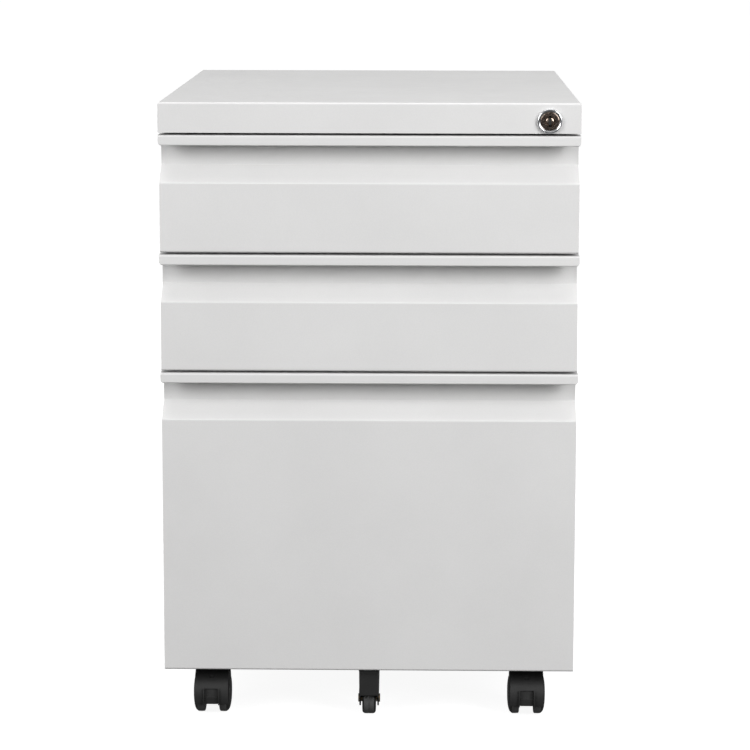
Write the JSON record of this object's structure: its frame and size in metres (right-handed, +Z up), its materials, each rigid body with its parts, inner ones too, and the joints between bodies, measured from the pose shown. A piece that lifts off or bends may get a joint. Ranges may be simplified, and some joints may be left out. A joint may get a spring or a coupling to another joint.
{
  "type": "metal filing cabinet",
  "caption": "Mobile steel filing cabinet with box drawers over a file drawer, full-width pull lips, a central lock, hooded twin-wheel casters and an anti-tip wheel.",
  "frame": {"origin": "on the floor under the middle of the top cover", "axes": "+Z up, drawers open towards -Y, +X to the right seen from the front, where the lock is"},
  "size_m": [0.39, 0.5037, 0.59],
  "materials": {
    "white_powder_coat": "fine satin powder coat, very light grey white",
    "zinc_steel": "bright zinc plate",
    "black_steel": "black powder coat",
    "brass_cage": "passivated plate with bright balls",
    "lock_chrome": "polished plating",
    "lock_bronze": "dark bronze tone",
    "axle_brass": "dull yellow plate",
    "axle_steel": "turned steel",
    "black_plastic": "fine moulded grain",
    "black_tread": "smooth moulded wheel",
    "bumper_rubber": "soft matt rubber"
  },
  "bodies": {
    "cabinet": {"top_cover": "white_powder_coat", "left_side_panel": "white_powder_coat", "right_side_panel": "white_powder_coat", "back_panel": "white_powder_coat", "base_pan": "white_powder_coat", "top_front_rail": "white_powder_coat", "slide_uprights": "zinc_steel", "back_screws": "zinc_steel", "front_bumpers": "bumper_rubber", "caster_plates": "zinc_steel", "caster_screws": "zinc_steel", "lock_housing": "lock_chrome", "lock_nut": "zinc_steel", "lock_bar_guides": "zinc_steel", "box_slide_outers": "zinc_steel", "file_slide_outers": "zinc_steel"},
    "lock": {"lock_plug": "lock_bronze", "lock_cam": "zinc_steel", "lock_cam_screw": "zinc_steel"},
    "lock_bar": {"lock_bar": "zinc_steel"},
    "top_drawer": {"top_drawer_front": "white_powder_coat", "top_inner_front": "white_powder_coat", "top_tray": "white_powder_coat", "top_drawer_back": "white_powder_coat", "top_slide_inners": "zinc_steel"},
    "top_cages": {"top_ball_cages": "brass_cage"},
    "middle_drawer": {"middle_drawer_front": "white_powder_coat", "middle_inner_front": "white_powder_coat", "middle_tray": "white_powder_coat", "middle_drawer_back": "white_powder_coat", "middle_slide_inners": "zinc_steel"},
    "middle_cages": {"middle_ball_cages": "brass_cage"},
    "file_drawer": {"file_drawer_front": "white_powder_coat", "file_inner_front": "white_powder_coat", "file_tray": "white_powder_coat", "file_drawer_back": "white_powder_coat", "file_slide_inners": "zinc_steel", "hanging_rails": "zinc_steel", "fifth_bracket": "black_steel", "fifth_axle": "axle_brass"},
    "file_middles": {"file_slide_middles": "zinc_steel"},
    "file_outer_cages": {"file_outer_cages": "brass_cage"},
    "file_inner_cages": {"file_inner_cages": "brass_cage"},
    "fifth_wheel": {"fifth_wheel": "black_tread"},
    "front_left_caster": {"front_left_housing": "black_plastic", "front_left_axle": "axle_steel"},
    "front_left_wheel_a": {"front_left_wheel_a": "black_tread"},
    "front_left_wheel_b": {"front_left_wheel_b": "black_tread"},
    "front_right_caster": {"front_right_housing": "black_plastic", "front_right_axle": "axle_steel"},
    "front_right_wheel_a": {"front_right_wheel_a": "black_tread"},
    "front_right_wheel_b": {"front_right_wheel_b": "black_tread"},
    "rear_left_caster": {"rear_left_housing": "black_plastic", "rear_left_axle": "axle_steel"},
    "rear_left_wheel_a": {"rear_left_wheel_a": "black_tread"},
    "rear_left_wheel_b": {"rear_left_wheel_b": "black_tread"},
    "rear_right_caster": {"rear_right_housing": "black_plastic", "rear_right_axle": "axle_steel"},
    "rear_right_wheel_a": {"rear_right_wheel_a": "black_tread"},
    "rear_right_wheel_b": {"rear_right_wheel_b": "black_tread"}
  },
  "joints": [
    {"name": "top_drawer_slide", "type": "slide", "parent": "cabinet", "child": "top_drawer", "axis": [0, -1, 0], "range_m": [0, 0.35]},
    {"name": "middle_drawer_slide", "type": "slide", "parent": "cabinet", "child": "middle_drawer", "axis": [0, -1, 0], "range_m": [0, 0.35]},
    {"name": "file_drawer_slide", "type": "slide", "parent": "cabinet", "child": "file_drawer", "axis": [0, -1, 0], "range_m": [0, 0.45]},
    {"name": "top_cages_slide", "type": "slide", "parent": "cabinet", "child": "top_cages", "axis": [0, -1, 0], "range_m": [0, 0.175]},
    {"name": "middle_cages_slide", "type": "slide", "parent": "cabinet", "child": "middle_cages", "axis": [0, -1, 0], "range_m": [0, 0.175]},
    {"name": "file_middles_slide", "type": "slide", "parent": "cabinet", "child": "file_middles", "axis": [0, -1, 0], "range_m": [0, 0.225]},
    {"name": "file_outer_cages_slide", "type": "slide", "parent": "cabinet", "child": "file_outer_cages", "axis": [0, -1, 0], "range_m": [0, 0.1125]},
    {"name": "file_inner_cages_slide", "type": "slide", "parent": "cabinet", "child": "file_inner_cages", "axis": [0, -1, 0], "range_m": [0, 0.3375]},
    {"name": "lock_turn", "type": "hinge", "parent": "cabinet", "child": "lock", "pos_m": [0.166, -0.25, 0.5734], "axis": [0, 1, 0], "range_deg": [0, 90]},
    {"name": "lock_bar_slide", "type": "slide", "parent": "cabinet", "child": "lock_bar", "axis": [0, 0, -1], "range_m": [0, 0.01273]},
    {"name": "front_left_swivel", "type": "hinge", "parent": "cabinet", "child": "front_left_caster", "pos_m": [-0.151, -0.197, 0.04], "axis": [0, 0, 1], "continuous": true},
    {"name": "front_left_wheel_a_spin", "type": "hinge", "parent": "front_left_caster", "child": "front_left_wheel_a", "pos_m": [-0.151, -0.214, 0.02], "axis": [1, 0, 0], "continuous": true},
    {"name": "front_left_wheel_b_spin", "type": "hinge", "parent": "front_left_caster", "child": "front_left_wheel_b", "pos_m": [-0.151, -0.214, 0.02], "axis": [1, 0, 0], "continuous": true},
    {"name": "front_right_swivel", "type": "hinge", "parent": "cabinet", "child": "front_right_caster", "pos_m": [0.151, -0.197, 0.04], "axis": [0, 0, 1], "continuous": true},
    {"name": "front_right_wheel_a_spin", "type": "hinge", "parent": "front_right_caster", "child": "front_right_wheel_a", "pos_m": [0.151, -0.214, 0.02], "axis": [1, 0, 0], "continuous": true},
    {"name": "front_right_wheel_b_spin", "type": "hinge", "parent": "front_right_caster", "child": "front_right_wheel_b", "pos_m": [0.151, -0.214, 0.02], "axis": [1, 0, 0], "continuous": true},
    {"name": "rear_left_swivel", "type": "hinge", "parent": "cabinet", "child": "rear_left_caster", "pos_m": [-0.151, 0.2225, 0.04], "axis": [0, 0, 1], "continuous": true},
    {"name": "rear_left_wheel_a_spin", "type": "hinge", "parent": "rear_left_caster", "child": "rear_left_wheel_a", "pos_m": [-0.151, 0.2055, 0.02], "axis": [1, 0, 0], "continuous": true},
    {"name": "rear_left_wheel_b_spin", "type": "hinge", "parent": "rear_left_caster", "child": "rear_left_wheel_b", "pos_m": [-0.151, 0.2055, 0.02], "axis": [1, 0, 0], "continuous": true},
    {"name": "rear_right_swivel", "type": "hinge", "parent": "cabinet", "child": "rear_right_caster", "pos_m": [0.151, 0.2225, 0.04], "axis": [0, 0, 1], "continuous": true},
    {"name": "rear_right_wheel_a_spin", "type": "hinge", "parent": "rear_right_caster", "child": "rear_right_wheel_a", "pos_m": [0.151, 0.2055, 0.02], "axis": [1, 0, 0], "continuous": true},
    {"name": "rear_right_wheel_b_spin", "type": "hinge", "parent": "rear_right_caster", "child": "rear_right_wheel_b", "pos_m": [0.151, 0.2055, 0.02], "axis": [1, 0, 0], "continuous": true},
    {"name": "fifth_wheel_spin", "type": "hinge", "parent": "file_drawer", "child": "fifth_wheel", "pos_m": [0, -0.22, 0.0155], "axis": [1, 0, 0], "continuous": true}
  ],
  "couplings": [
    {"joint": "top_cages_slide", "follows": "top_drawer_slide", "ratio": 0.5},
    {"joint": "middle_cages_slide", "follows": "middle_drawer_slide", "ratio": 0.5},
    {"joint": "file_middles_slide", "follows": "file_drawer_slide", "ratio": 0.5},
    {"joint": "file_outer_cages_slide", "follows": "file_drawer_slide", "ratio": 0.25},
    {"joint": "file_inner_cages_slide", "follows": "file_drawer_slide", "ratio": 0.75},
    {"joint": "lock_turn", "follows": "lock_bar_slide", "rad_per_m": 123.41}
  ]
}
